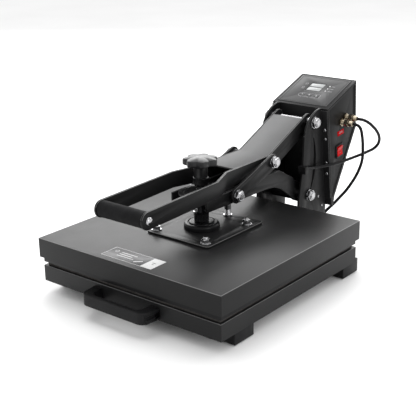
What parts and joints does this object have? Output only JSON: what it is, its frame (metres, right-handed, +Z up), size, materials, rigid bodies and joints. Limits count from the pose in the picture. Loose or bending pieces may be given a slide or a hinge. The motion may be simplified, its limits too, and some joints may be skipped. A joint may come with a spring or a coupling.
{
  "type": "heat press",
  "caption": "Clamshell heat press: flat upper platen on a toggle lever arm, slide-out lower platen, tilted control box.",
  "frame": {"origin": "on the floor below the middle of the machine's bounding box, leads left out", "axes": "+X to the operator's right, +Y to the rear, +Z up"},
  "size_m": [0.4, 0.6549, 0.3035],
  "materials": {
    "frame_coat": "satin black powder coat, fine orange peel",
    "cover_coat": "satin charcoal powder coat",
    "box_coat": "satin dark grey powder coat",
    "chrome": "bright plated fasteners",
    "nickel": "nickel plated brass",
    "steel": "drawn steel",
    "screw_black": "black oxide",
    "heat_plate": "dark non-stick coating",
    "insulation": "ceramic fibre",
    "silicone": "dull silicone",
    "rubber_black": "matt",
    "grip": "foam grip",
    "plastic_black": "satin moulded",
    "knob_plastic": "glossy phenolic",
    "panel_film": "printed film",
    "key_film": "raised keys",
    "display": "backlit display",
    "light": "diffused indicator",
    "board": "circuit board",
    "switch_red": "translucent red",
    "lead_black": "flexible jacket"
  },
  "bodies": {
    "root": {"cross_tubes": "frame_coat", "long_tubes": "frame_coat", "tube_end_caps": "plastic_black", "rubber_feet": "rubber_black", "drawer_rails": "steel", "upright_left": "frame_coat", "upright_right": "frame_coat", "upright_web": "frame_coat", "frame_screws": "chrome", "lever_pivot_shaft": "chrome", "arm_pivot_shaft": "chrome", "pivot_spacers": "chrome", "upright_pivot_nuts": "chrome", "box_case": "box_coat", "box_sides": "box_coat", "control_panel": "panel_film", "display_window": "display", "indicator_lights": "light", "control_board": "board", "switch_bezel": "plastic_black", "cable_glands": "nickel", "power_inlet": "plastic_black", "web_grommet": "rubber_black", "lead_clip": "plastic_black", "heater_lead": "lead_black", "sensor_lead": "lead_black"},
    "tray": {"tray_shell": "cover_coat", "silicone_pad": "silicone", "pull_handle": "plastic_black", "drawer_runners": "steel"},
    "arm": {"arm_top": "frame_coat", "arm_sides": "frame_coat", "arm_pivot_tube": "frame_coat", "screw_nut": "frame_coat", "arm_link_shaft": "chrome"},
    "lever": {"lever_bar_left": "frame_coat", "lever_bar_right": "frame_coat", "lever_top": "frame_coat", "handle_rod": "chrome", "handle_grip": "grip"},
    "links": {"link_left": "frame_coat", "link_right": "frame_coat", "link_pivot_shaft": "chrome", "link_lower_bolts": "chrome", "link_spacers": "screw_black", "link_nuts": "chrome"},
    "platen": {"platen_cover": "cover_coat", "insulation_board": "insulation", "heating_plate": "heat_plate", "mount_plate": "cover_coat", "mount_bolts": "chrome", "guide_post": "chrome", "pressure_foot": "screw_black"},
    "screw": {"pressure_screw": "screw_black", "thrust_collar": "screw_black", "knob": "knob_plastic"},
    "rocker": {"switch_rocker": "switch_red"},
    "mode_key": {"key_mode": "key_film"},
    "down_key": {"key_down": "key_film"},
    "up_key": {"key_up": "key_film"}
  },
  "joints": [
    {"name": "arm_hinge", "type": "hinge", "parent": "root", "child": "arm", "pos_m": [0, 0.17375, 0.1035], "axis": [-1, 0, 0], "range_deg": [0, 35.28]},
    {"name": "lever_hinge", "type": "hinge", "parent": "root", "child": "lever", "pos_m": [0, 0.18775, 0.243], "axis": [-1, 0, 0], "range_deg": [0, 75.05]},
    {"name": "link_hinge", "type": "hinge", "parent": "lever", "child": "links", "pos_m": [0, 0.05925, 0.1963], "axis": [-1, 0, 0], "range_deg": [-99.34, 0]},
    {"name": "platen_slide", "type": "slide", "parent": "arm", "child": "platen", "axis": [0, 0, 1], "range_m": [0, 0.012]},
    {"name": "screw_spin", "type": "hinge", "parent": "platen", "child": "screw", "pos_m": [0, -0.09025, 0.2], "axis": [0, 0, 1], "range_deg": [0, 2161]},
    {"name": "drawer_slide", "type": "slide", "parent": "root", "child": "tray", "axis": [0, -1, 0], "range_m": [0, 0.22]},
    {"name": "power_switch", "type": "hinge", "parent": "root", "child": "rocker", "pos_m": [0.062, 0.26075, 0.1735], "axis": [0, 0.9925, 0.1219], "range_deg": [-12, 0]},
    {"name": "mode_press", "type": "slide", "parent": "root", "child": "mode_key", "axis": [0, 0.3432, -0.9393], "range_m": [0, 0.0005], "stiffness_N_per_m": 400, "springref_m": -0.0004},
    {"name": "down_press", "type": "slide", "parent": "root", "child": "down_key", "axis": [0, 0.3432, -0.9393], "range_m": [0, 0.0005], "stiffness_N_per_m": 400, "springref_m": -0.0004},
    {"name": "up_press", "type": "slide", "parent": "root", "child": "up_key", "axis": [0, 0.3432, -0.9393], "range_m": [0, 0.0005], "stiffness_N_per_m": 400, "springref_m": -0.0004}
  ],
  "couplings": [
    {"joint": "lever_hinge", "follows": "arm_hinge", "ratio": 2.1258},
    {"joint": "link_hinge", "follows": "arm_hinge", "ratio": -2.8144},
    {"joint": "screw_spin", "follows": "platen_slide", "rad_per_m": 3141.6}
  ]
}
